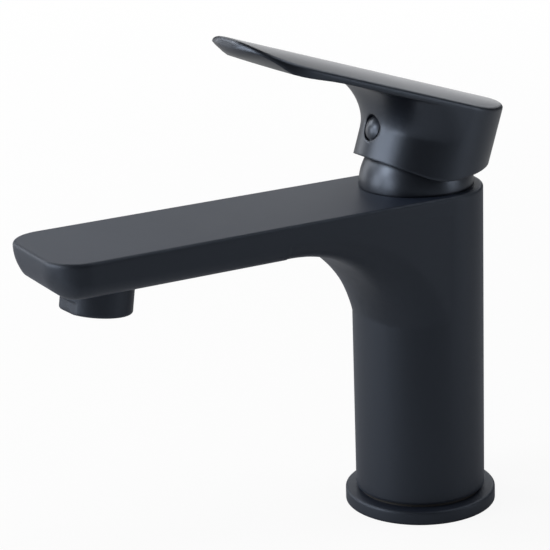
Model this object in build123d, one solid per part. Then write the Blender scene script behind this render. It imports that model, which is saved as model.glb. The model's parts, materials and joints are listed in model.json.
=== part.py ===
from build123d import *
import os
from math import cos, pi, radians, sin, sqrt, tan

# Single-lever basin mixer. Millimetres, +Z up, origin at the centre of the foot ring's
# underside. The spout points along -Y. The lever stands fully lifted, its open position.

# Column and spout
BODY_R = 23.5             # column radius, and half the spout's width
BODY_TOP = 118.5          # flat top of column and spout
SPOUT_REACH = 147.0       # column axis to the spout's tip
SPOUT_THICK = 12.6        # spout thickness
SPOUT_LOWER_R = 6.0       # rounding of the spout's lower edges
SPOUT_TIP_R = 12.2        # plan radius of the tip's corners
BOW_REACH = 7.0           # how far behind the tip its underside begins to rise
BOW_RISE = 9.5
BOW_LOWER_R = 9.0         # the lower edges' rounding grows to this at the tip
TOP_EDGE_R = 1.2          # rounding of the top edge
THROAT_REACH = 42.0       # the hollow curve from the column into the spout's underside
THROAT_DROP = 36.0
THROAT_STEP = 9           # degrees between the curve's cross-sections
THROAT_SIDE = 30.0        # slant of the belly where it leaves the column, degrees
THROAT_SIDE_END = 0.6     # and what is left of it at the spout
THROAT_ROOF = 4.5         # the throat piece ends this far below the flat top
BLEND_INSET = 0.05        # a blend's own solid stays this far inside its neighbours' faces
BOW_STEP = 6              # degrees of the plan corner between the tip's cross-sections
BOW_OUTSET = 0.02         # the underside's form stands this far outside the upright sides
BODY_FOOT = 6.2           # lower end of the column's skin

# Foot ring
FLANGE_R = 27.4
FLANGE_H = 4.8
FLANGE_EDGE_R = 0.8
FLANGE_BORE_R = 18.1
FLANGE_SEAL_R = 22.3
GASKET_IN_R = 21.0
GASKET_OUT_R = 25.0
GASKET_H = 1.8
SEAL_PLAY = 0.05          # side play of a rubber ring in its groove

# Inlet block in the column's foot
BLOCK_R = 17.9
BLOCK_TOP = 24.0
THREAD_PLAY = 0.05
INLET_X = 7.0
INLET_Y = 3.5
INLET_R = 4.46            # core radius of an M10x1 thread
INLET_DEEP = 12.0
STUD_Y = -9.5
STUD_R = 3.35             # core radius of an M8 thread
STUD_DEEP = 16.0
RISER_R = 3.4
BLOCK_SEAL_IN_R = 4.2
BLOCK_SEAL_OUT_R = 6.0
BLOCK_SEAL_H = 1.6

# Waterway
OUTLET_PORT_Y = -9.0
OUTLET_PORT_R = 3.4
OUTLET_SUMP = 7.0         # depth of the mixed-water sump under the cartridge
CRESCENT_IN_R = 19.7
CRESCENT_OUT_R = 21.9
CRESCENT_ANGLE = 64.0
SPOUT_WALL = 3.2
CHANNEL_R = 16.3          # half the spout channel's width
CHANNEL_END = 11.2        # solid metal left at the spout's tip
WATERWAY_EDGE_R = 2.0

# Cartridge, 35 mm type
CART_DEPTH = 32.5         # floor of the cartridge bore below the flat top
SEAT_Z = BODY_TOP - CART_DEPTH
CART_R = 17.5
CART_PLAY = 0.1
CART_BASE_H = 4.0
CART_SPIGOT_R = 15.4
CART_SPIGOT_H = 1.6
PIN_R = 2.0               # locating pins under the base
PIN_X = 13.5
PIN_H = 3.0
PIN_PLAY = 0.05
PORT_RING_H = 1.2
PORT_WEB = 1.2            # base thickness left between the two sets of rings
PORT_RING_OUT_R = 5.2
DISC_R = 13.2
DISC_H = 3.8
MOVING_DISC_R = 9.6
MOVING_DISC_H = 3.6
MIX_CHAMBER_R = 6.4
MIX_CHAMBER_H = 2.0
DISC_FILM = 0.02          # film between the ceramic faces
CARRIER_H = 1.6
CARRIER_BOSS_X = 9.8
CARRIER_BOSS_Y = 11.0
CARRIER_BOSS_H = 4.9
SLIDE_PLAY = 0.06
ROTOR_R = 13.9
ROTOR_H = 6.4
ROTOR_GAP = 0.2           # rotor underside above the carrier plate
ROTOR_NECK_R = 9.9
ROTOR_RISE = 39.6         # height above the bore's floor, as the next ones
ROTOR_TOP = SEAT_Z + ROTOR_RISE
RUN_PLAY = 0.08
HOUSING_RISE = 37.5
HOUSING_TOP = SEAT_Z + HOUSING_RISE
HOUSING_NECK_R = 12.4
SHOULDER_RISE = 21.2
SHOULDER_Z = SEAT_Z + SHOULDER_RISE
HOUSING_BORE_R = 15.5
ROTOR_RING_H = 1.8
ROTOR_RING_IN_R = 8.6
ROTOR_RING_RISE = 23.0
ROTOR_RING_Z = SEAT_Z + ROTOR_RING_RISE
LIMIT_RING_H = 1.8
LIMIT_RING_R = 12.2
LIMIT_TOOTH_R = 9.1
LIMIT_TOOTH_HALF = 14.0   # degrees
LIMIT_PLAY = 0.3
LIMIT_NOTCHES = 16
LIMIT_NOTCH = 1.2
TURN_HALF = 50.0          # degrees each way

# Lever pin and spindle
PIVOT_RISE = 35.0         # cross pin above the bore's floor
PIVOT_Z = SEAT_Z + PIVOT_RISE
LIFT = 20.0               # degrees from open to closed
SPINDLE_LEAN = LIFT / 2   # backward lean of the spindle when open
SPINDLE_ARM = 20.0        # pivot to the centre of the ball end
SPINDLE_BALL_R = 3.2
SPINDLE_NECK_R = 2.4
SPINDLE_X = 8.0
SPINDLE_Y = 7.0
SPINDLE_DOWN = 12.0
SPINDLE_UP = 24.0
SPINDLE_PLAY = 0.06
SPINDLE_BEVEL = 0.8
CROSS_PIN_R = 1.5
CROSS_PIN_HALF = 9.5
CROSS_PIN_PLAY = 0.01
SLOT_Y = 14.4

# Cartridge nut and dome
NUT_R = 18.5
NUT_HEAD_R = 17.0
NUT_HEAD_H = 4.0
NUT_BORE_R = 12.7
NUT_RECESS_R = 14.6
NUT_RECESS_DEPTH = 5.5    # the recess's floor below the body's top
NUT_RECESS_Z = BODY_TOP - NUT_RECESS_DEPTH
NUT_SLOT = 3.0
NUT_SLOT_DEEP = 1.5
NUT_RELIEF = 0.4          # its thread ends this far below the body's top
DOME_R = 20.3
DOME_RISE = 0.3           # the dome's centre above the body's top
DOME_CENTRE_Z = BODY_TOP + DOME_RISE
DOME_WALL = 1.3
DOME_MOUTH_R = 14.6
DOME_SKIRT_R = 17.8
DOME_SKIRT_H = 3.5
DOME_RING_IN_R = 15.9
DOME_RING_H = 1.8
DOME_RING_RISE = 1.2
DOME_RING_Z = BODY_TOP + DOME_RING_RISE

# Lever and hub, drawn level about the pivot and then tilted
OPEN_TILT = 18.0
HUB_R = 23.4              # also half the lever's width
HUB_WALL = 2.5
LEVER_REACH = 87.0        # pivot to the lever's tip
TIP_LENGTH = 23.4         # of which the round tip takes this much
TIP_POWER = 2.6           # 2 would be a plain ellipse
TIP_STEPS = 6
CROWN_TOP = 32.56         # crest above the pivot
CROWN_R = 86.0
LEVER_EDGE_R = 1.2        # rounding of the lever's top edge
CHINE_ROOT = 27.0         # foot of the lever's side wall beside the hub
CHINE_DIP = 0.9           # how much lower it lies where the lever is thickest
CHINE_RISE = 4.2          # how much it climbs from there to the tip
CHINE_RUN = 14.8
CHINE_POWER = 1.3
KEEL_ROOT = 26.4          # middle of the underside beside the hub
KEEL_DIP = 0.4
KEEL_RISE = 1.1
KEEL_TURN = 4.8           # the last stretch, where the underside turns up to the tip
KEEL_TURN_RISE = 3.0
DIP_START = 52.0
DIP_END = 70.0
BELLY_SAG = 0.12          # least sag of the underside between its side walls
FLARE_START = 12.5        # where the front begins to flare into the lever
FLARE_REACH = 13.3        # how far in front of the hub the flare reaches
FLARE_POWER = 3.5         # its plan goes from a circle, 2, to this squarer curve
FLARE_STEP = 15           # degrees between the flare's cross-sections
RIM_LOW = 1.15            # lowest point of the hub's rim, above the pivot
RIM_LOW_Y = 4.8
RIM_FRONT_ANGLE = 6.2
RIM_REAR_ANGLE = 22.5
RIM_TURN_R = 28.0
CAVITY_TOP = 26.0
SOCKET_BOSS_R = 8.6
SOCKET_BOSS_Y = -1.8
SOCKET_BOSS_FOOT = 8.2
PLUG_Z = 13.5
PLUG_R = 4.1
PLUG_RECESS_R = 4.6
PLUG_RECESS = 1.4
PLUG_EDGE_R = 1.2
PLUG_PROUD = 0.5
PLUG_STEM_R = 2.45
PLUG_STEM = 2.5
SCREW_R = 2.5
SCREW_PLAY = 0.01
SCREW_LENGTH = 6.0
SCREW_SOCKET_R = 1.4
SCREW_SOCKET = 3.0

# Aerator
AERATOR_SETBACK = 21.9    # its lower face behind the spout's tip
AERATOR_Y = AERATOR_SETBACK - SPOUT_REACH
AERATOR_DROP = 23.2       # and below the flat top
AERATOR_Z = BODY_TOP - AERATOR_DROP
AERATOR_TILT = 8.5
AERATOR_R = 12.1
AERATOR_LENGTH = 12.2
AERATOR_GAP = 0.35
AERATOR_THREAD_R = 11.0
AERATOR_THREAD = 4.6
AERATOR_BORE_R = 10.0
AERATOR_LIP_R = 9.0
AERATOR_LIP = 1.2
AERATOR_EDGE_R = 0.8
FLAT_ACROSS = 21.6
FLAT_H = 4.2
FLAT_TURN = 7.0           # degrees the flats are turned from the spout's direction
WASHER_H = 1.4
WASHER_IN_R = 8.4
INSERT_PLAY = 0.05
SCREEN_H = 2.2
SCREEN_HOLE_R = 0.85
SCREEN_PITCH = 2.6
DIFFUSER_H = 8.0
DIFFUSER_HOLE_R = 0.8
DIFFUSER_HOLES = 10
DIFFUSER_PITCH_R = 5.5
DIFFUSER_WALL = 1.5
DIFFUSER_RIM = 1.2
DIFFUSER_PLATE = 1.8

UNDERSIDE = BODY_TOP - SPOUT_THICK
THROAT_Y = -BODY_R - THROAT_REACH
THROAT_Z = UNDERSIDE - THROAT_DROP
PORTS = ((-INLET_X, INLET_Y), (INLET_X, INLET_Y), (0.0, OUTLET_PORT_Y))
PIVOT = Pos(0, 0, PIVOT_Z)
LEVER_FRAME = PIVOT * Rot(X=-OPEN_TILT)
SPINDLE_FRAME = PIVOT * Rot(X=-SPINDLE_LEAN)
AERATOR_FRAME = Pos(0, AERATOR_Y, AERATOR_Z) * Rot(X=-AERATOR_TILT)


def rod(radius, low, high, x=0.0, y=0.0):
    return Pos(x, y, (low + high) / 2) * Cylinder(radius, high - low)


def ring(inner, outer, low, high, x=0.0, y=0.0):
    return rod(outer, low, high, x, y) - rod(inner, low - 1, high + 1, x, y)


def block(x0, x1, y0, y1, z0, z1):
    return Pos((x0 + x1) / 2, (y0 + y1) / 2, (z0 + z1) / 2) * Box(x1 - x0, y1 - y0, z1 - z0)


def sector(inner, outer, low, high, middle, half):
    """Part of a ring about +Z, from middle - half to middle + half degrees."""
    start, end = radians(middle - half), radians(middle + half)
    far = 4 * outer
    wedge = Polyline((0, 0), (far * cos(start), far * sin(start)),
                     (far * cos(radians(middle)), far * sin(radians(middle))),
                     (far * cos(end), far * sin(end)), close=True)
    prism = extrude(Pos(0, 0, low) * make_face(wedge), high - low)
    return ring(inner, outer, low, high) & prism


def along_y(radius, y0, y1, z=0.0):
    """A rod that lies along Y between y0 and y1."""
    return Pos(0, (y0 + y1) / 2, z) * Rot(X=90) * Cylinder(radius, abs(y1 - y0))


# ---------------------------------------------------------------- column and spout
def across(y, outline):
    """A closed outline drawn in X and Z, set upright at y."""
    return Plane(origin=(0, y, 0), x_dir=(1, 0, 0), z_dir=(0, -1, 0)) * make_face(outline)


def spout_plan():
    """Column and spout seen from above."""
    bar = Pos(0, -SPOUT_REACH / 2) * Rectangle(2 * BODY_R, SPOUT_REACH)
    return fillet(bar.vertices().group_by(Axis.Y)[0], SPOUT_TIP_R) + Circle(BODY_R)


def trough_section(y, half, low, corner):
    """Flat top, upright sides and rounded lower corners, a little wider than the spout."""
    half += BOW_OUTSET
    high = BODY_TOP + 1
    knee = corner * (1 - cos(pi / 4))
    outline = [
        Line((half - corner, low), (corner - half, low)),
        ThreePointArc((corner - half, low), (knee - half, low + knee), (-half, low + corner)),
        Line((-half, low + corner), (-half, high)),
        Line((-half, high), (half, high)),
        Line((half, high), (half, low + corner)),
        ThreePointArc((half, low + corner), (half - knee, low + knee), (half - corner, low)),
    ]
    return across(y, outline)


def bow_section(turn):
    """Section of the tip where its plan corner has turned through that many degrees."""
    y = -SPOUT_REACH + SPOUT_TIP_R * (1 - sin(radians(turn)))
    half = BODY_R - SPOUT_TIP_R * (1 - cos(radians(turn)))
    past = min(max(0.0, BOW_REACH - SPOUT_REACH - y) / BOW_REACH, 1.0)
    low = UNDERSIDE + BOW_RISE * (1 - sqrt(1 - past ** 2))
    corner = SPOUT_LOWER_R + (BOW_LOWER_R - SPOUT_LOWER_R) * past
    return trough_section(y, half, low, min(corner, BODY_TOP - TOP_EDGE_R - low))


def trough():
    """The spout's underside: a bar with rounded lower edges and a tip that rises like a bow."""
    back = THROAT_Y + 1
    front = -SPOUT_REACH + SPOUT_TIP_R
    section = trough_section(back, BODY_R, UNDERSIDE, SPOUT_LOWER_R)
    bow = loft([bow_section(turn) for turn in range(0, 91, BOW_STEP)])
    return extrude(section, back - front) + bow


def throat_section(turn):
    """Cross-section of the throat, in a plane that turns about the hollow curve's centre line.

    At 0 degrees it is the column's round front, at 90 the spout's squarer underside.
    """
    lean = radians(turn)
    half = BODY_R - BLEND_INSET
    corner = half + (SPOUT_LOWER_R - half) * sin(lean)
    side = radians(THROAT_SIDE * (1 - sqrt(turn / 90)) + THROAT_SIDE_END)
    belly = corner + (half - corner) / sin(side)
    near = 1 / sqrt((cos(lean) / THROAT_REACH) ** 2 + (sin(lean) / THROAT_DROP) ** 2)
    near += BLEND_INSET
    to_axis = (0.5 - THROAT_Y) / max(cos(lean), 0.01)
    to_top = (BODY_TOP - THROAT_ROOF - THROAT_Z) / max(sin(lean), 0.01)
    depth = min(to_axis, to_top)
    knee = (belly * sin(side), near + belly * (1 - cos(side)))
    middle = (half - corner, near + belly - (belly - corner) * cos(side))
    half_turn = (pi / 2 + side) / 2
    bend = (middle[0] + corner * sin(half_turn), middle[1] - corner * cos(half_turn))
    right = [ThreePointArc(knee, bend, (half, middle[1])), Line((half, middle[1]), (half, depth))]
    left = [edge.mirror(Plane.YZ) for edge in right]
    outline = right + left
    outline += [ThreePointArc((-knee[0], knee[1]), (0, near), knee), Line((half, depth), (-half, depth))]
    outward = Vector(0, cos(lean), sin(lean))
    plane = Plane(origin=(0, THROAT_Y, THROAT_Z), x_dir=(1, 0, 0),
                  z_dir=Vector(1, 0, 0).cross(outward))
    return plane * make_face(outline)


def throat():
    return loft([throat_section(turn) for turn in range(0, 91, THROAT_STEP)])


def body_casting():
    slab = extrude(Pos(0, 0, UNDERSIDE) * spout_plan(), SPOUT_THICK)
    slab = fillet(slab.faces().sort_by(Axis.Z)[-1].edges(), TOP_EDGE_R)
    wide = BODY_R + 1
    rear = block(-wide, wide, THROAT_Y, wide, UNDERSIDE + SPOUT_LOWER_R, BODY_TOP + 1)
    body = slab & (trough() + rear)
    body += rod(BODY_R, BODY_FOOT, UNDERSIDE + SPOUT_LOWER_R)
    return body + throat() - body_bores()


def body_bores():
    """Cartridge bore with its nut thread, foot bore, risers, waterway and aerator port."""
    cuts = rod(CART_R + CART_PLAY, SEAT_Z, BODY_TOP + 1)
    cuts += rod(NUT_R, SHOULDER_Z - 0.5, BODY_TOP + 1)
    cuts += rod(BLOCK_R + THREAD_PLAY, BODY_FOOT - 1, BLOCK_TOP)
    for side in (-1, 1):
        cuts += rod(RISER_R, BLOCK_TOP - 1, SEAT_Z + 1, side * INLET_X, INLET_Y)
        cuts += rod(PIN_R + PIN_PLAY, SEAT_Z - PIN_H - PIN_PLAY, SEAT_Z + 1, side * PIN_X)
    cuts += waterway()
    port = rod(AERATOR_R + AERATOR_GAP, -5, AERATOR_LENGTH)
    port += rod(AERATOR_THREAD_R + THREAD_PLAY, 0, AERATOR_LENGTH + AERATOR_THREAD + WASHER_H)
    return cuts + AERATOR_FRAME * port


def waterway():
    """Port and sump under the cartridge, crescent riser before it, channel in the spout."""
    sump = SEAT_Z - OUTLET_SUMP
    way = rod(OUTLET_PORT_R, sump, SEAT_Z + 1, 0, OUTLET_PORT_Y)
    reach = -(CRESCENT_IN_R + CRESCENT_OUT_R) / 2
    way += block(-OUTLET_PORT_R, OUTLET_PORT_R, reach, OUTLET_PORT_Y, sump, sump + OUTLET_PORT_R)
    roof = BODY_TOP - SPOUT_WALL
    way += sector(CRESCENT_IN_R, CRESCENT_OUT_R, sump, roof, -90, CRESCENT_ANGLE / 2)
    channel = block(-CHANNEL_R, CHANNEL_R, -SPOUT_REACH + CHANNEL_END, reach, UNDERSIDE + SPOUT_WALL, roof)
    return way + fillet(channel.edges().filter_by(Axis.Y), WATERWAY_EDGE_R)


# ---------------------------------------------------------------- foot
def base_flange():
    disc = rod(FLANGE_R, 0, FLANGE_H)
    rims = disc.edges().filter_by(GeomType.CIRCLE).sort_by(Axis.Z)
    disc = fillet(rims[-1], FLANGE_EDGE_R)
    disc -= rod(FLANGE_BORE_R, -1, FLANGE_H + 1)
    return disc - ring(GASKET_IN_R, GASKET_OUT_R, -1, GASKET_H)


def base_gasket():
    return ring(GASKET_IN_R + SEAL_PLAY, GASKET_OUT_R - SEAL_PLAY, 0, GASKET_H)


def flange_seal():
    return ring(FLANGE_BORE_R, FLANGE_SEAL_R, FLANGE_H, BODY_FOOT)


def inlet_block():
    body = rod(BLOCK_R, 0, BLOCK_TOP)
    body -= rod(STUD_R, -1, STUD_DEEP, 0, STUD_Y)
    for side in (-1, 1):
        x = side * INLET_X
        body -= rod(INLET_R, -1, INLET_DEEP, x, INLET_Y)
        body -= rod(RISER_R, 0, BLOCK_TOP + 1, x, INLET_Y)
        body -= ring(BLOCK_SEAL_IN_R, BLOCK_SEAL_OUT_R, BLOCK_TOP - BLOCK_SEAL_H, BLOCK_TOP + 1,
                     x, INLET_Y)
    return body


def inlet_block_seals():
    low = BLOCK_TOP - BLOCK_SEAL_H
    rings = [ring(BLOCK_SEAL_IN_R + SEAL_PLAY, BLOCK_SEAL_OUT_R - SEAL_PLAY, low, BLOCK_TOP,
                  side * INLET_X, INLET_Y) for side in (-1, 1)]
    return Compound(children=rings)


# ---------------------------------------------------------------- cartridge
BASE_TOP = SEAT_Z + 2 * PORT_RING_H + PORT_WEB
FIXED_TOP = BASE_TOP + DISC_H
MOVING_FOOT = FIXED_TOP + DISC_FILM
CARRIER_FOOT = MOVING_FOOT + MOVING_DISC_H
BALL_Z = PIVOT_Z - SPINDLE_ARM
SLIDE_REST = -SPINDLE_ARM * sin(radians(SPINDLE_LEAN))
ROTOR_FOOT = CARRIER_FOOT + CARRIER_H + ROTOR_GAP


def cartridge_base():
    body = rod(CART_R, SEAT_Z, SEAT_Z + CART_BASE_H)
    body += rod(CART_SPIGOT_R, SEAT_Z, SEAT_Z + CART_BASE_H + CART_SPIGOT_H)
    body -= rod(DISC_R + SLIDE_PLAY, BASE_TOP, SEAT_Z + 20)
    for side in (-1, 1):
        body += rod(PIN_R, SEAT_Z - PIN_H, SEAT_Z, side * PIN_X)
    for x, y in PORTS:
        body -= rod(RISER_R, SEAT_Z - 1, BASE_TOP + 1, x, y)
        body -= rod(PORT_RING_OUT_R, SEAT_Z - 1, SEAT_Z + PORT_RING_H, x, y)
        body -= rod(PORT_RING_OUT_R, BASE_TOP - PORT_RING_H, BASE_TOP + 1, x, y)
    return body


def port_rings(low):
    rings = [ring(RISER_R, PORT_RING_OUT_R - SEAL_PLAY, low, low + PORT_RING_H, x, y)
             for x, y in PORTS]
    return Compound(children=rings)


def port_seals():
    return port_rings(SEAT_Z)


def disc_seals():
    return port_rings(BASE_TOP - PORT_RING_H)


def fixed_disc():
    disc = rod(DISC_R, BASE_TOP, FIXED_TOP)
    for x, y in PORTS:
        disc -= rod(RISER_R, BASE_TOP - 1, FIXED_TOP + 1, x, y)
    return disc


def moving_disc():
    disc = rod(MOVING_DISC_R, MOVING_FOOT, CARRIER_FOOT, 0, SLIDE_REST)
    return disc - rod(MIX_CHAMBER_R, MOVING_FOOT - 1, MOVING_FOOT + MIX_CHAMBER_H, 0, SLIDE_REST)


def disc_carrier():
    body = rod(MOVING_DISC_R, CARRIER_FOOT, CARRIER_FOOT + CARRIER_H, 0, SLIDE_REST)
    half_x, half_y = CARRIER_BOSS_X / 2, CARRIER_BOSS_Y / 2
    top = CARRIER_FOOT + CARRIER_H + CARRIER_BOSS_H
    body += block(-half_x, half_x, SLIDE_REST - half_y, SLIDE_REST + half_y, CARRIER_FOOT, top)
    socket = BALL_Z - SPINDLE_BALL_R - SPINDLE_PLAY
    return body - rod(SPINDLE_BALL_R + SPINDLE_PLAY, socket, top + 1, 0, SLIDE_REST)


def cartridge_rotor():
    body = rod(ROTOR_R, ROTOR_FOOT, ROTOR_FOOT + ROTOR_H)
    body += rod(ROTOR_NECK_R, ROTOR_FOOT, ROTOR_TOP)
    half_x = CARRIER_BOSS_X / 2 + SLIDE_PLAY
    half_y = CARRIER_BOSS_Y / 2 - SLIDE_REST + 2 * SLIDE_PLAY
    slot_top = CARRIER_FOOT + CARRIER_H + CARRIER_BOSS_H + ROTOR_GAP
    body -= block(-half_x, half_x, -half_y, half_y, ROTOR_FOOT - 1, slot_top)
    half_x = SPINDLE_X / 2 + RUN_PLAY
    body -= block(-half_x, half_x, -SLOT_Y / 2, SLOT_Y / 2, ROTOR_FOOT, ROTOR_TOP + 1)
    body -= PIVOT * Rot(Y=90) * Cylinder(CROSS_PIN_R, 3 * ROTOR_NECK_R)
    body -= ring(ROTOR_RING_IN_R, 2 * ROTOR_R, ROTOR_RING_Z, ROTOR_RING_Z + ROTOR_RING_H)
    relief = LIMIT_TOOTH_HALF + TURN_HALF + 3
    return body - sector(LIMIT_TOOTH_R - LIMIT_PLAY, 2 * ROTOR_R, HOUSING_TOP, ROTOR_TOP + 1, 90, relief)


def rotor_seal():
    high = ROTOR_RING_Z + ROTOR_RING_H
    return ring(ROTOR_RING_IN_R + SEAL_PLAY, ROTOR_NECK_R + RUN_PLAY / 2, ROTOR_RING_Z, high)


def spindle_pin():
    return PIVOT * Rot(Y=90) * Cylinder(CROSS_PIN_R - CROSS_PIN_PLAY, 2 * CROSS_PIN_HALF)


def cartridge_housing():
    low = SEAT_Z + CART_BASE_H
    body = rod(CART_R, low, SHOULDER_Z)
    body += rod(HOUSING_NECK_R, low, HOUSING_TOP)
    body -= rod(HOUSING_BORE_R, low - 1, FIXED_TOP)
    body -= rod(ROTOR_R + RUN_PLAY, low, ROTOR_FOOT + ROTOR_H + RUN_PLAY)
    return body - rod(ROTOR_NECK_R + RUN_PLAY, low, HOUSING_TOP + 1)


def hot_limit_ring():
    high = HOUSING_TOP + LIMIT_RING_H
    body = ring(ROTOR_NECK_R + LIMIT_PLAY, LIMIT_RING_R, HOUSING_TOP, high)
    body += sector(LIMIT_TOOTH_R, LIMIT_RING_R - 0.5, HOUSING_TOP, high, 90, LIMIT_TOOTH_HALF)
    for step in range(LIMIT_NOTCHES):
        notch = Pos(LIMIT_RING_R, 0, high) * Box(LIMIT_NOTCH, LIMIT_NOTCH, LIMIT_NOTCH)
        body -= Rot(Z=360 / LIMIT_NOTCHES * (step + 0.5)) * notch
    return body


def spindle():
    shank = block(-SPINDLE_X / 2, SPINDLE_X / 2, -SPINDLE_Y / 2, SPINDLE_Y / 2,
                  -SPINDLE_DOWN, SPINDLE_UP)
    shank = chamfer(shank.faces().sort_by(Axis.Z)[-1].edges(), SPINDLE_BEVEL)
    shank -= Rot(Y=90) * Cylinder(CROSS_PIN_R + SPINDLE_PLAY, 2 * SPINDLE_X)
    neck = rod(SPINDLE_NECK_R, -SPINDLE_ARM, -SPINDLE_DOWN)
    ball = Pos(0, 0, -SPINDLE_ARM) * Sphere(SPINDLE_BALL_R)
    return SPINDLE_FRAME * (shank + neck + ball)


# ---------------------------------------------------------------- nut and dome
def cartridge_nut():
    head = BODY_TOP + NUT_HEAD_H
    body = rod(NUT_R - THREAD_PLAY, SHOULDER_Z, BODY_TOP - NUT_RELIEF)
    body += rod(NUT_HEAD_R, SHOULDER_Z, head)
    body -= rod(NUT_BORE_R, SHOULDER_Z - 1, head + 1)
    body -= rod(NUT_RECESS_R, NUT_RECESS_Z, head + 1)
    body -= ring(DOME_RING_IN_R, 2 * NUT_R, DOME_RING_Z, DOME_RING_Z + DOME_RING_H)
    for quarter in range(4):
        slot = block(NUT_BORE_R, 2 * NUT_R, -NUT_SLOT / 2, NUT_SLOT / 2, head - NUT_SLOT_DEEP, head + 1)
        body -= Rot(Z=45 + 90 * quarter) * slot
    return body


def dome_ring():
    return ring(DOME_RING_IN_R, DOME_SKIRT_R - 0.02, DOME_RING_Z, DOME_RING_Z + DOME_RING_H)


def dome_cover():
    shell = Pos(0, 0, DOME_CENTRE_Z) * (Sphere(DOME_R) - Sphere(DOME_R - DOME_WALL))
    shell &= rod(2 * DOME_R, BODY_TOP, DOME_CENTRE_Z + 2 * DOME_R)
    foot = ring(DOME_SKIRT_R, DOME_R, BODY_TOP, BODY_TOP + DOME_SKIRT_H)
    foot &= Pos(0, 0, DOME_CENTRE_Z) * Sphere(DOME_R)
    return shell + foot - rod(DOME_MOUTH_R, BODY_TOP, DOME_CENTRE_Z + 2 * DOME_R)


# ---------------------------------------------------------------- lever
def lever_half_width(y):
    """Half the lever's width at a distance in front of the pivot."""
    past = max(0.0, y - LEVER_REACH + TIP_LENGTH) / TIP_LENGTH
    return HUB_R * (1 - min(past, 1.0) ** TIP_POWER) ** (1 / TIP_POWER)


def lever_plan():
    """The lever from above: round over the hub, straight sides and a full round tip."""
    start = LEVER_REACH - TIP_LENGTH
    along = [start + TIP_LENGTH * sin(pi / 2 * step / TIP_STEPS) for step in range(TIP_STEPS + 1)]
    tip = Spline([(lever_half_width(y), -y) for y in along], tangents=((0, -1), (-1, 0)))
    right = [Line((HUB_R, 0), (HUB_R, -start)), tip]
    left = [edge.mirror(Plane.YZ) for edge in right]
    return make_face(right + left + [ThreePointArc((HUB_R, 0), (0, HUB_R), (-HUB_R, 0))])


def ease(value, start, end):
    """0 before the start and 1 past the end, with a smooth rise between them."""
    part_way = min(max((value - start) / (end - start), 0.0), 1.0)
    return part_way * part_way * (3 - 2 * part_way)


def lever_section(y):
    """What lies above the lever's belly at a distance in front of the pivot."""
    dip = ease(y, DIP_START, DIP_END)
    climb = min(max((y - LEVER_REACH + CHINE_RUN) / CHINE_RUN, 0.0), 1.0)
    chine = CHINE_ROOT - CHINE_DIP * dip + CHINE_RISE * sin(pi / 2 * climb) ** CHINE_POWER
    keel = KEEL_ROOT - KEEL_DIP * dip + KEEL_RISE * ease(y, DIP_END, LEVER_REACH - KEEL_TURN)
    turned = min(max((y - LEVER_REACH + KEEL_TURN) / KEEL_TURN, 0.0), 1.0)
    keel += KEEL_TURN_RISE * (1 - sqrt(1 - turned ** 2))
    keel = min(keel, chine - BELLY_SAG)
    wide = HUB_R + 1
    high = 2 * CROWN_TOP
    edge = keel + (chine - keel) * (wide / max(lever_half_width(y), HUB_R / 3)) ** 2
    outline = [ThreePointArc((-wide, edge), (0, keel), (wide, edge)), Line((wide, edge), (wide, high)),
               Line((wide, high), (-wide, high)), Line((-wide, high), (-wide, edge))]
    return across(-y, outline)


def lever_blade():
    """Crowned plate with a rounded top edge, cut to its belly from below."""
    blade = extrude(lever_plan(), CROWN_TOP + 1)
    blade &= Pos(0, 0, CROWN_TOP - CROWN_R) * Rot(X=90) * Cylinder(CROWN_R, 4 * LEVER_REACH)
    blade = fillet(blade.faces().sort_by(Axis.Z)[-1].edges(), LEVER_EDGE_R)
    start = LEVER_REACH - TIP_LENGTH
    stations = [0, DIP_START / 2, DIP_START, (DIP_START + start) / 2]
    stations += [start + TIP_LENGTH * sin(pi / 2 * step / 12) for step in range(12)]
    stations.append(LEVER_REACH + 1)
    wide = HUB_R + 1
    above = loft([lever_section(y) for y in stations], ruled=True)
    return blade & (above + block(-wide, wide, 0, wide, CHINE_ROOT, 2 * CROWN_TOP))


def neck_section(turn):
    """Plan of the flare: half a circle that gets squarer and reaches further as it rises."""
    height = (CHINE_ROOT - FLARE_START) * sin(radians(turn))
    reach = HUB_R - BLEND_INSET + FLARE_REACH * (1 - cos(radians(turn)))
    half = HUB_R - BLEND_INSET
    power = 2 + (FLARE_POWER - 2) * sin(radians(turn)) ** 2
    right = [(half * cos(radians(t)) ** (2 / power), -reach * sin(radians(t)) ** (2 / power))
             for t in (20, 40, 60)]
    left = [(-x, y) for x, y in reversed(right)]
    front = Spline([(half, 0), *right, (0, -reach), *left, (-half, 0)], tangents=((0, -1), (0, 1)))
    return Pos(0, 0, FLARE_START + height) * make_face([front, Line((-half, 0), (half, 0))])


def hub_blank():
    """Round hub whose front flares into the lever's underside."""
    return rod(HUB_R, 0, CHINE_ROOT) + loft([neck_section(turn) for turn in range(0, 91, FLARE_STEP)])


def rim_cut():
    """What two slanted planes, with a round turn between them, take off the hub's lower end."""
    reach = 2 * HUB_R
    corner = (-RIM_LOW_Y, RIM_LOW)
    front = (-reach, RIM_LOW + (reach - RIM_LOW_Y) * tan(radians(RIM_FRONT_ANGLE)))
    rear = (reach, RIM_LOW + (reach + RIM_LOW_Y) * tan(radians(RIM_REAR_ANGLE)))
    outline = Polyline((-reach, -9), (reach, -9), rear, corner, front, close=True)
    profile = make_face(outline)
    turn = profile.vertices().sort_by_distance((*corner, 0))[0]
    return extrude(Plane.YZ * fillet(turn, RIM_TURN_R), 2 * HUB_R, both=True)


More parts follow.
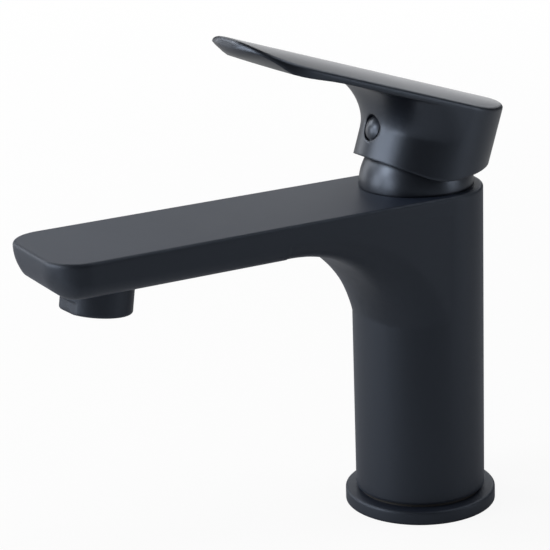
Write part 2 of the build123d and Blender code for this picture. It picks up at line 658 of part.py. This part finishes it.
def handle():
    blank = lever_blade() + hub_blank() - rim_cut()
    cavity = rod(HUB_R - HUB_WALL, -5, CAVITY_TOP)
    blank -= cavity - rod(SOCKET_BOSS_R, SOCKET_BOSS_FOOT, CAVITY_TOP, 0, SOCKET_BOSS_Y)
    blank -= along_y(PLUG_RECESS_R, -HUB_R + PLUG_RECESS, -2 * HUB_R, PLUG_Z)
    blank -= along_y(SCREW_R, 0, -2 * HUB_R, PLUG_Z)
    half_x = SPINDLE_X / 2 + SPINDLE_PLAY
    half_y = SPINDLE_Y / 2 + SPINDLE_PLAY
    socket = block(-half_x, half_x, -half_y, half_y, 0, SPINDLE_UP + 0.5)
    return LEVER_FRAME * blank - SPINDLE_FRAME * socket


def handle_plug():
    face = -HUB_R - PLUG_PROUD
    seat = -HUB_R + PLUG_RECESS
    body = along_y(PLUG_R, seat, face, PLUG_Z)
    body = fillet(body.edges().sort_by(Axis.Y)[0], PLUG_EDGE_R)
    body += along_y(PLUG_STEM_R, seat + PLUG_STEM, seat, PLUG_Z)
    return LEVER_FRAME * body


def handle_set_screw():
    """Cup-point screw that bears on the leaning spindle's front face."""
    lean = radians(OPEN_TILT - SPINDLE_LEAN)
    face = -SPINDLE_Y / 2 / cos(lean) - (PLUG_Z + SCREW_R) * tan(lean) - 0.05
    end = face - SCREW_LENGTH
    body = along_y(SCREW_R - SCREW_PLAY, face, end, PLUG_Z)
    return LEVER_FRAME * (body - along_y(SCREW_SOCKET_R, end + SCREW_SOCKET, end - 1, PLUG_Z))


# ---------------------------------------------------------------- aerator
def aerator_housing():
    body = rod(AERATOR_R, 0, AERATOR_LENGTH)
    body = fillet(body.edges().sort_by(Axis.Z)[0], AERATOR_EDGE_R)
    flat = block(-AERATOR_R, AERATOR_R, FLAT_ACROSS / 2, 2 * AERATOR_R, -1, FLAT_H)
    for side in range(2):
        body -= Rot(Z=FLAT_TURN + 180 * side) * flat
    body += rod(AERATOR_THREAD_R, 1, AERATOR_LENGTH + AERATOR_THREAD)
    body -= rod(AERATOR_LIP_R, -1, AERATOR_LENGTH)
    body -= rod(AERATOR_BORE_R, AERATOR_LIP, AERATOR_LENGTH + AERATOR_THREAD + 1)
    return AERATOR_FRAME * body


def aerator_washer():
    low = AERATOR_LENGTH + AERATOR_THREAD
    return AERATOR_FRAME * ring(WASHER_IN_R, AERATOR_THREAD_R - INSERT_PLAY, low, low + WASHER_H)


def aerator_screen():
    """Outlet grid: hexagonally spaced holes in a disc that rests on the housing's lip."""
    plate = Circle(AERATOR_BORE_R - INSERT_PLAY)
    rows = 3
    for row in range(-rows, rows + 1):
        count = 2 * rows + 1 - abs(row)
        for step in range(count):
            x = (step - (count - 1) / 2) * SCREEN_PITCH
            plate -= Pos(x, row * SCREEN_PITCH * sqrt(3) / 2) * RegularPolygon(SCREEN_HOLE_R, 6)
    return AERATOR_FRAME * extrude(Pos(0, 0, AERATOR_LIP) * plate, SCREEN_H)


def aerator_diffuser():
    low = AERATOR_LIP + SCREEN_H
    body = rod(AERATOR_BORE_R - INSERT_PLAY, low, low + DIFFUSER_H)
    rim = low + DIFFUSER_H - DIFFUSER_RIM
    bore = AERATOR_BORE_R - DIFFUSER_WALL
    body -= rod(bore, low - 1, rim - DIFFUSER_PLATE) + rod(bore, rim, rim + 2 * DIFFUSER_RIM)
    for step in range(DIFFUSER_HOLES):
        hole = rod(DIFFUSER_HOLE_R, low, low + DIFFUSER_H, DIFFUSER_PITCH_R)
        body -= Rot(Z=360 / DIFFUSER_HOLES * step) * hole
    return AERATOR_FRAME * body


PIECES = (body_casting, base_flange, base_gasket, flange_seal, inlet_block, inlet_block_seals,
          cartridge_base, port_seals, disc_seals, fixed_disc, moving_disc, disc_carrier,
          cartridge_rotor, rotor_seal, spindle_pin, cartridge_housing, hot_limit_ring, spindle,
          cartridge_nut, dome_ring, dome_cover, handle, handle_plug, handle_set_screw,
          aerator_housing, aerator_washer, aerator_screen, aerator_diffuser)

os.makedirs("parts", exist_ok=True)
for piece in PIECES:
    export_step(piece(), f"parts/{piece.__name__}.step")
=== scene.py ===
# %% [markdown]
# # A matt black basin mixer
#
# The tap has five things that the eye reads: a column on a foot ring, a flat spout that grows out
# of the column, an aerator under the spout's tip, a domed cap, and a lever that tilts and turns
# above the cap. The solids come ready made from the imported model, so this lesson is about three
# other jobs: smooth shading on those solids, the finishes, and a studio that shows black on white.

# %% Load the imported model
import json
from math import cos, pi, radians, sin

import bmesh
import bpy
from mathutils import Matrix, Vector

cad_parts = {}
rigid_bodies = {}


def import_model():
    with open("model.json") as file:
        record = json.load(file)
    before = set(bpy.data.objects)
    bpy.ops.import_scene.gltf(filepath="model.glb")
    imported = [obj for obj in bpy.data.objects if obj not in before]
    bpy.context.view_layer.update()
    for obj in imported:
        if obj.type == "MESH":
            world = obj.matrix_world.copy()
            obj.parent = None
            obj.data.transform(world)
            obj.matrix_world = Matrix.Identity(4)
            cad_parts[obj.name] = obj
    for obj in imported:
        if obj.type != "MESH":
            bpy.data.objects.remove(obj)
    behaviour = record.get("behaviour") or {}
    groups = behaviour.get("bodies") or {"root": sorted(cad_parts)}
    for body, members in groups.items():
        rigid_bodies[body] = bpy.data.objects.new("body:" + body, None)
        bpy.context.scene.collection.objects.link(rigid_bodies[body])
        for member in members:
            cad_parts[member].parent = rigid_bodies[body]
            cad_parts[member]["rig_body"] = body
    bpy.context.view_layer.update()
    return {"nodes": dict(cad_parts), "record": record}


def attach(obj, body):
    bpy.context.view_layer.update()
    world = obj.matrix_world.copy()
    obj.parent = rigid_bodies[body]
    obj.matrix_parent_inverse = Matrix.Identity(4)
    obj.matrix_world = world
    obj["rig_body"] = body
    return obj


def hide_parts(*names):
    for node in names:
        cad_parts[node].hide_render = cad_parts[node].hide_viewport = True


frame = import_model()
nodes = frame["nodes"]
print("pieces in the model:", len(nodes))

# %% [markdown]
# ## The camera
#
# A product picture is taken from a little above and to one side, with a long lens so that upright
# lines stay nearly upright. The camera is placed by an azimuth, an elevation and a distance from a
# point between the column and the spout's tip, which is easier to reason about than coordinates.
# It also leans by two degrees, as a hand-levelled camera does. Lens and sensor are in millimetres,
# everything else is in metres, and the two shifts are parts of the picture's width.

# %% Place the camera
SENSOR = 36.0
LENS = 128.48
SHIFT_ACROSS = 0.0130
SHIFT_UP = 0.0104
NEAREST = 0.01
AZIMUTH = radians(61.31)
ELEVATION = radians(16.96)
LEAN = radians(-2.11)
DISTANCE = 0.670
LOOK_AT = Vector((0, -0.06085, 0.09366))
UNSCALED = Vector((1, 1, 1))

toward = Vector((sin(AZIMUTH) * cos(ELEVATION), -cos(AZIMUTH) * cos(ELEVATION), sin(ELEVATION)))
level = Vector((cos(AZIMUTH), sin(AZIMUTH), 0))
upright = toward.cross(level)
across = level * cos(LEAN) + upright * sin(LEAN)
above = upright * cos(LEAN) - level * sin(LEAN)

camera_data = bpy.data.cameras.new("product_camera")
camera_data.sensor_width = SENSOR
camera_data.lens = LENS
camera_data.shift_x = SHIFT_ACROSS
camera_data.shift_y = SHIFT_UP
camera_data.clip_start = NEAREST
camera = bpy.data.objects.new("product_camera", camera_data)
bpy.context.scene.collection.objects.link(camera)
camera.matrix_world = Matrix.LocRotScale(
    LOOK_AT + toward * DISTANCE, Matrix((across, above, toward)).transposed(), UNSCALED)
bpy.context.scene.camera = camera
print("camera at", tuple(round(part, 3) for part in camera.matrix_world.translation))

# %% [markdown]
# ## A short way to write finishes
#
# A finish is a small tree of shader nodes. Placing and joining each node by hand takes many lines,
# so two helpers carry the work. Finish.node adds one node from its type, its settings and what
# goes into its sockets. Wire wraps an output, and its operators add Math nodes, so that sums on
# textures are written as plain expressions. The room's light is a tree of the same kind, so the
# same helper builds it.

# %% Wrap a socket so that sums work on it
class Wire:
    """The output of one node. Adding to it or multiplying it adds a Math node."""

    def __init__(self, finish, socket):
        self.finish = finish
        self.socket = socket

    def _math(self, operation, other):
        return self.finish.node("ShaderNodeMath", {"operation": operation}, {0: self, 1: other})

    def __add__(self, other):
        return self._math("ADD", other)

    __radd__ = __add__

    def __mul__(self, other):
        return self._math("MULTIPLY", other)

    __rmul__ = __mul__


# %% Build a tree of nodes
class Finish:
    """The nodes of one material, or of the room, while they are being joined."""

    def __init__(self, name, shelf=bpy.data.materials):
        self.owner = shelf.new(name)
        self.owner.use_nodes = True
        self.tree = self.owner.node_tree
        self.tree.nodes.clear()

    def node(self, kind, settings=None, sockets=None, result=0):
        """Adds a node. Settings come first because they can change which sockets there are."""
        made = self.tree.nodes.new(kind)
        for setting, value in (settings or {}).items():
            setattr(made, setting, value)
        for socket, value in (sockets or {}).items():
            if isinstance(value, Wire):
                self.tree.links.new(value.socket, made.inputs[socket])
            else:
                made.inputs[socket].default_value = value
        return Wire(self, made.outputs[result]) if made.outputs else None

    def end(self, shader, kind="ShaderNodeOutputMaterial"):
        """Joins the last shader to the output and hands back the finished material or room."""
        self.node(kind, sockets={"Surface": shader})
        return self.owner

    def place(self):
        """Object coordinates, which are the part's own coordinates in metres."""
        return self.node("ShaderNodeTexCoord", result="Object")

    def noise(self, size, detail=2.0, squeeze=(1, 1, 1)):
        """Cloudy noise with blotches of about the given size in metres, finer where squeezed."""
        where = self.node("ShaderNodeMapping", sockets={"Vector": self.place(), "Scale": squeeze})
        return self.node("ShaderNodeTexNoise", sockets={
            "Vector": where, "Scale": 1 / size, "Detail": detail})

    def bump(self, height, depth, **sockets):
        """Turns the shading normal as dents of the given depth in metres would."""
        return self.node("ShaderNodeBump", sockets={
            "Height": height, "Distance": depth, **sockets})

    def surface(self, colour, roughness, **sockets):
        """Ends the finish with the one shader that all pieces of the tap use."""
        inputs = {"Base Color": colour, "Roughness": roughness, **sockets}
        return self.end(self.node("ShaderNodeBsdfPrincipled", sockets=inputs))


# %% [markdown]
# ## Two black coats
#
# Matt black taps are powder coated or electrophoretically coated brass. The film is smooth to the
# hand and yet scatters light: at a steep angle it is nearly black, and at a shallow angle it turns
# silvery. A plain dielectric with a middling roughness does that by itself. The casting and its
# ring carry a duller film than the lever and the cap, which are coated apart, so the coat is one
# function with roughness, IOR and sheen as its inputs. Both lean towards blue, in the film and in
# its shine, and the duller one has a trace of blue sheen at grazing angles. Very faint noise in the
# roughness and a bump of a few thousandths of a millimetre keep long highlights from looking drawn.
# Paint also fills corners and pulls thin over edges, so a bevel node turns the shading normal
# gradually within about a millimetre of each edge.

# %% The coats
COAT_COLOUR = (0.0044, 0.0050, 0.0074, 1)
COAT_SHINE = (0.67, 0.79, 1.0, 1)
COAT_SHEEN = (0.30, 0.50, 1.0, 1)
SHEEN_ROUGHNESS = 0.5
DULL_IOR = 1.67
SATIN_IOR = 1.78
CLOUD_SIZE = 0.018
CLOUD_DETAIL = 3.0
CLOUD_SWING = 0.03
GRAIN_SIZE = 0.00035
GRAIN_DEPTH = 0.000004
SOFT_EDGE = 0.0013
EDGE_SAMPLES = 6


def coat_finish(name, roughness, ior, sheen):
    coat = Finish(name)
    cloud = coat.noise(CLOUD_SIZE, CLOUD_DETAIL)
    grain = coat.noise(GRAIN_SIZE)
    soft = coat.node("ShaderNodeBevel", {"samples": EDGE_SAMPLES}, {"Radius": SOFT_EDGE})
    return coat.surface(COAT_COLOUR, roughness - CLOUD_SWING / 2 + CLOUD_SWING * cloud, **{
        "Normal": coat.bump(grain, GRAIN_DEPTH, Normal=soft),
        "IOR": ior,
        "Specular Tint": COAT_SHINE,
        "Sheen Weight": sheen,
        "Sheen Roughness": SHEEN_ROUGHNESS,
        "Sheen Tint": COAT_SHEEN,
    })


body_coat = coat_finish("dull_black_coat", roughness=0.50, ior=DULL_IOR, sheen=0.04)
lever_coat = coat_finish("satin_black_coat", roughness=0.36, ior=SATIN_IOR, sheen=0.0)
print("coats:", body_coat.name, lever_coat.name)

# %% [markdown]
# ## Glossier black, rubber, metal and plastics
#
# The screw plug in the lever is a small moulding that is glossier than the coat around it. Rubber
# rings are dull. What hides in the body is turned brass and steel, moulded plastic and lapped
# ceramic, and a cutaway or an open pose can show it. None of these is quite even: a grain of a few
# millimetres or less changes the roughness from spot to spot, and some of them have dents to match.
# So one function serves them all. On turned metal the grain is squeezed along one axis, which makes
# fine streaks of it.

# %% The other finishes
def grained_finish(name, colour, smoothest, swing, grain, depth=0, squeeze=(1, 1, 1), **sockets):
    """One colour, with a roughness that grows from its smoothest by up to the swing.

    The grain is the size of its blotches in metres, and the depth is that of their dents.
    """
    finish = Finish(name)
    pattern = finish.noise(grain, squeeze=squeeze)
    if depth:
        sockets["Normal"] = finish.bump(pattern, depth)
    return finish.surface(colour, smoothest + swing * pattern, **sockets)


FINISHES = {
    "black_coat": body_coat,
    "black_gloss": grained_finish(
        "gloss_black_plug", COAT_COLOUR, smoothest=0.33, swing=0.04, grain=0.004,
        **{"IOR": SATIN_IOR, "Specular Tint": COAT_SHINE}),
    "black_rubber": grained_finish(
        "black_rubber", (0.014, 0.014, 0.014, 1), smoothest=0.62, swing=0.1, grain=0.0006,
        depth=0.00002),
    "brass": grained_finish(
        "turned_brass", (0.60, 0.43, 0.19, 1), smoothest=0.26, swing=0.12, grain=0.0012,
        depth=0.00001, squeeze=(1, 1, 9), Metallic=1.0),
    "steel": grained_finish(
        "turned_steel", (0.55, 0.55, 0.56, 1), smoothest=0.28, swing=0.1, grain=0.0008,
        squeeze=(9, 1, 1), Metallic=1.0),
    "ceramic": grained_finish(
        "lapped_ceramic", (0.78, 0.76, 0.70, 1), smoothest=0.18, swing=0.06, grain=0.003,
        IOR=1.7),
    "white_plastic": grained_finish(
        "white_nylon", (0.74, 0.73, 0.70, 1), smoothest=0.42, swing=0.08, grain=0.0009,
        depth=0.00001),
    "red_plastic": grained_finish(
        "red_limit_plastic", (0.45, 0.03, 0.02, 1), smoothest=0.42, swing=0.08, grain=0.0009,
        depth=0.00001),
    "grey_plastic": grained_finish(
        "dark_grey_plastic", (0.030, 0.031, 0.034, 1), smoothest=0.42, swing=0.08, grain=0.0009,
        depth=0.00001),
}
print("finishes:", len(FINISHES))

# %% Put a finish on every piece
SATIN_PIECES = ("handle", "dome_cover")
slots = {part["node"]: part["material_slot"] for part in frame["record"]["subparts"]}
for name, node in nodes.items():
    node.data.materials.clear()
    node.data.materials.append(lever_coat if name in SATIN_PIECES else FINISHES[slots[name]])
print("pieces with a finish:", len(nodes))

# %% [markdown]
# ## Smooth skins for the visible solids
#
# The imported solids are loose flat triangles, which would show as facets in a long soft highlight.
# One way out is to model every form again, but then a curve could drift from the solid it stands
# for. Here a copy of each visible solid is welded, its faces are shaded smooth, and only edges that
# turn by more than a set angle stay sharp. Weighted normals keep the big flats flat next to their
# narrow rounded edges.

# %% Weld and smooth a copy of a node
CREASE = radians(24)
WELD = 1e-6


def smooth_skin(name):
    mesh = nodes[name].data.copy()
    mesh.name = name + "_skin"
    shape = bmesh.new()
    shape.from_mesh(mesh)
    bmesh.ops.remove_doubles(shape, verts=shape.verts, dist=WELD)
    bmesh.ops.dissolve_degenerate(shape, edges=shape.edges, dist=WELD)
    for face in shape.faces:
        face.smooth = True
    for edge in shape.edges:
        edge.smooth = len(edge.link_faces) == 2 and edge.calc_face_angle(0) < CREASE
    shape.to_mesh(mesh)
    shape.free()
    skin = bpy.data.objects.new(name + "_skin", mesh)
    bpy.context.scene.collection.objects.link(skin)
    weighted = skin.modifiers.new("weighted_normals", "WEIGHTED_NORMAL")
    weighted.keep_sharp = True
    weighted.mode = "FACE_AREA"
    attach(skin, nodes[name]["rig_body"])
    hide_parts(name)
    return skin


# %% Skin what can be seen from outside
VISIBLE = (
    "body_casting", "base_flange", "flange_seal", "base_gasket", "inlet_block", "dome_cover",
    "handle", "handle_set_screw", "aerator_housing", "aerator_screen", "spindle",
    "cartridge_rotor", "cartridge_nut",
)
skins = {name: smooth_skin(name) for name in VISIBLE}
print("skins:", {name: len(skin.data.polygons) for name, skin in skins.items()})

# %% [markdown]
# ## The button over the screw
#
# The solid of the plug ends in a plain flat disc with a rounded rim. The real moulding is a shallow
# lens, which gathers a small highlight of its own. A lens is a turned form: half of its section is
# drawn as a chain of edges from the crown to the back, and one full spin with merged ends turns it.
# It is drawn as if the lever were level and its pivot at the origin. Then it is raised to its
# place in the hub, tilted as the open lever is, and lifted to the pivot.

# %% Draw half of the section
LENS_R = 0.00405
LENS_CROWN = 0.0243
LENS_RIM = 0.0230
LENS_BACK = 0.0220
LENS_STEPS = 12


def lens_section():
    """Points from the crown out to the rim and in along the back: (radius, distance forward)."""
    sag = LENS_CROWN - LENS_RIM
    ball = (LENS_R ** 2 + sag ** 2) / (2 * sag)
    section = []
    for step in range(LENS_STEPS + 1):
        out = LENS_R * step / LENS_STEPS
        section.append((out, LENS_CROWN - ball + (ball ** 2 - out ** 2) ** 0.5))
    return section + [(LENS_R, LENS_BACK), (0.0, LENS_BACK)]


print("points in the section:", len(lens_section()))

# %% Spin the lens and set it in the lever
SPIN_STEPS = 64
LENS_HEIGHT = 0.0135
PIVOT_HEIGHT = 0.121
OPEN_TILT = radians(18)


def spin_lens():
    lens = bmesh.new()
    chain = [lens.verts.new((0, -forward, out)) for out, forward in lens_section()]
    edges = [lens.edges.new(pair) for pair in zip(chain, chain[1:])]
    bmesh.ops.spin(lens, geom=chain + edges, cent=(0, 0, 0), axis=(0, 1, 0), angle=2 * pi,
                   steps=SPIN_STEPS, use_merge=True)
    bmesh.ops.remove_doubles(lens, verts=lens.verts, dist=WELD)
    bmesh.ops.recalc_face_normals(lens, faces=lens.faces)
    for face in lens.faces:
        face.smooth = True
    for edge in lens.edges:
        edge.smooth = edge.calc_face_angle(0) < CREASE
    tilt = Matrix.Translation((0, 0, PIVOT_HEIGHT)) @ Matrix.Rotation(-OPEN_TILT, 4, "X")
    lens.transform(tilt @ Matrix.Translation((0, 0, LENS_HEIGHT)))
    mesh = bpy.data.meshes.new("plug_lens")
    lens.to_mesh(mesh)
    lens.free()
    piece = bpy.data.objects.new("plug_lens", mesh)
    bpy.context.scene.collection.objects.link(piece)
    mesh.materials.append(FINISHES["black_gloss"])
    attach(piece, nodes["handle_plug"]["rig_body"])
    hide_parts("handle_plug")
    return piece


plug_lens = spin_lens()
print("lens faces:", len(plug_lens.data.polygons))

# %% [markdown]
# ## The soft boxes
#
# A black object on white is a problem of reflections: the coat has almost no colour of its own, so
# its form shows only where a lamp mirrors in it. Square soft boxes stand all around the tap, at one
# distance and turned to its middle. Those in front of the spout light the long flat faces softly,
# those at the corner and the side draw the upright edges of the column, the cap and the hub, and
# those behind give the rim light. One of these hangs high and puts a soft line along the upper
# edges. A bearing of 0 is the way that the spout points, and it grows towards +X.

# %% Lamps
AIM = Vector((0, -0.05, 0.10))
LAMP_DISTANCE = 1.4
BOX_SIZE = 0.5
# name: bearing and height in degrees, power in watts
BOXES = {
    "front_high": (345, 30, 7.8),
    "front_low": (0, 6, 3.9),
    "corner_high": (300, 30, 4.3),
    "corner_low": (330, 6, 3.7),
    "side_high": (255, 30, 1.6),
    "side_low": (285, 6, 1.5),
    "rear_side": (234, 6, 1.4),
    "rear_high": (210, 30, 1.6),
    "rear_low": (135, 6, 1.9),
    "rear_top": (165, 60, 3.5),
}


def soft_box(name, bearing, height, watts):
    lamp = bpy.data.lights.new(name, "AREA")
    lamp.shape = "SQUARE"
    lamp.size = BOX_SIZE
    lamp.energy = watts
    holder = bpy.data.objects.new(name, lamp)
    bpy.context.scene.collection.objects.link(holder)
    turn, rise = radians(bearing), radians(height)
    away = Vector((sin(turn) * cos(rise), -cos(turn) * cos(rise), sin(rise)))
    holder.matrix_world = Matrix.LocRotScale(
        AIM + LAMP_DISTANCE * away, away.to_track_quat("Z", "Y"), UNSCALED)


for name, settings in BOXES.items():
    soft_box(name, *settings)
print("soft boxes:", len(BOXES))

# %% [markdown]
# ## The room
#
# The room has to be white behind the tap and nearly dark around it, or the coat would mirror the
# white and turn grey. A Light Path node knows what a ray is for, so one room can be both. Rays from
# the camera, and rays that have passed through something clear, meet plain white. Rays that leave a
# dull surface meet a dim grey, which fills the shadows a little, and those that mirror in a glossy
# one meet a grey that is dimmer still.

# %% Light the room
WHITE = (1, 1, 1, 1)
PLAIN_WHITE = 1.0
ROOM_DIFFUSE = 0.25
ROOM_MIRRORED = 0.06


def room_light():
    room = Finish("white_room", bpy.data.worlds)
    seen = room.node("ShaderNodeMath", {"operation": "MAXIMUM"}, {
        0: room.node("ShaderNodeLightPath", result="Is Camera Ray"),
        1: room.node("ShaderNodeLightPath", result="Is Transmission Ray")})
    around = room.node("ShaderNodeMix", sockets={
        "Factor": room.node("ShaderNodeLightPath", result="Is Glossy Ray"),
        "A": ROOM_DIFFUSE, "B": ROOM_MIRRORED})
    strength = room.node("ShaderNodeMix", sockets={
        "Factor": seen, "A": around, "B": PLAIN_WHITE})
    glow = room.node("ShaderNodeBackground", sockets={"Color": WHITE, "Strength": strength})
    return room.end(glow, "ShaderNodeOutputWorld")


bpy.context.scene.world = room_light()
print("room:", bpy.context.scene.world.name)

# %% [markdown]
# ## The floor
#
# A white sheet right under the tap would brighten every face that looks down, so the floor bounces
# less light than the camera sees in it. To the camera it is almost all plain white, with a tenth of
# the lit sheet left in, and that tenth is what keeps the shadow. Further out it fades to plain
# white, so that no line shows where the floor ends and the room begins.

# %% Lay the floor
FLOOR_REACH = 3.0
FLOOR_SEEN = 0.86
FLOOR_BOUNCE = 0.52
FADE_START = 0.35
FADE_END = 1.3
PLAIN_SHARE = 0.90


def floor_finish():
    paper = Finish("white_paper")
    seen = paper.node("ShaderNodeLightPath", result="Is Camera Ray")
    far = paper.node("ShaderNodeVectorMath", {"operation": "LENGTH"}, {0: paper.place()}, "Value")
    plain = paper.node("ShaderNodeMapRange", sockets={
        "Value": far, "From Min": FADE_START, "From Max": FADE_END,
        "To Min": PLAIN_SHARE, "To Max": 1.0})
    lit = paper.node("ShaderNodeBsdfDiffuse", sockets={
        "Color": FLOOR_BOUNCE + (FLOOR_SEEN - FLOOR_BOUNCE) * seen})
    white = paper.node("ShaderNodeEmission", sockets={"Color": WHITE, "Strength": PLAIN_WHITE})
    return paper.end(paper.node("ShaderNodeMixShader", sockets={
        0: seen * plain, 1: lit, 2: white}))


def lay_floor():
    mesh = bpy.data.meshes.new("floor")
    sheet = bmesh.new()
    bmesh.ops.create_grid(sheet, x_segments=1, y_segments=1, size=FLOOR_REACH)
    sheet.to_mesh(mesh)
    sheet.free()
    floor = bpy.data.objects.new("floor", mesh)
    bpy.context.scene.collection.objects.link(floor)
    mesh.materials.append(floor_finish())


lay_floor()
bpy.context.scene.view_settings.view_transform = "Standard"
print("floor reaches", FLOOR_REACH, "m each way")
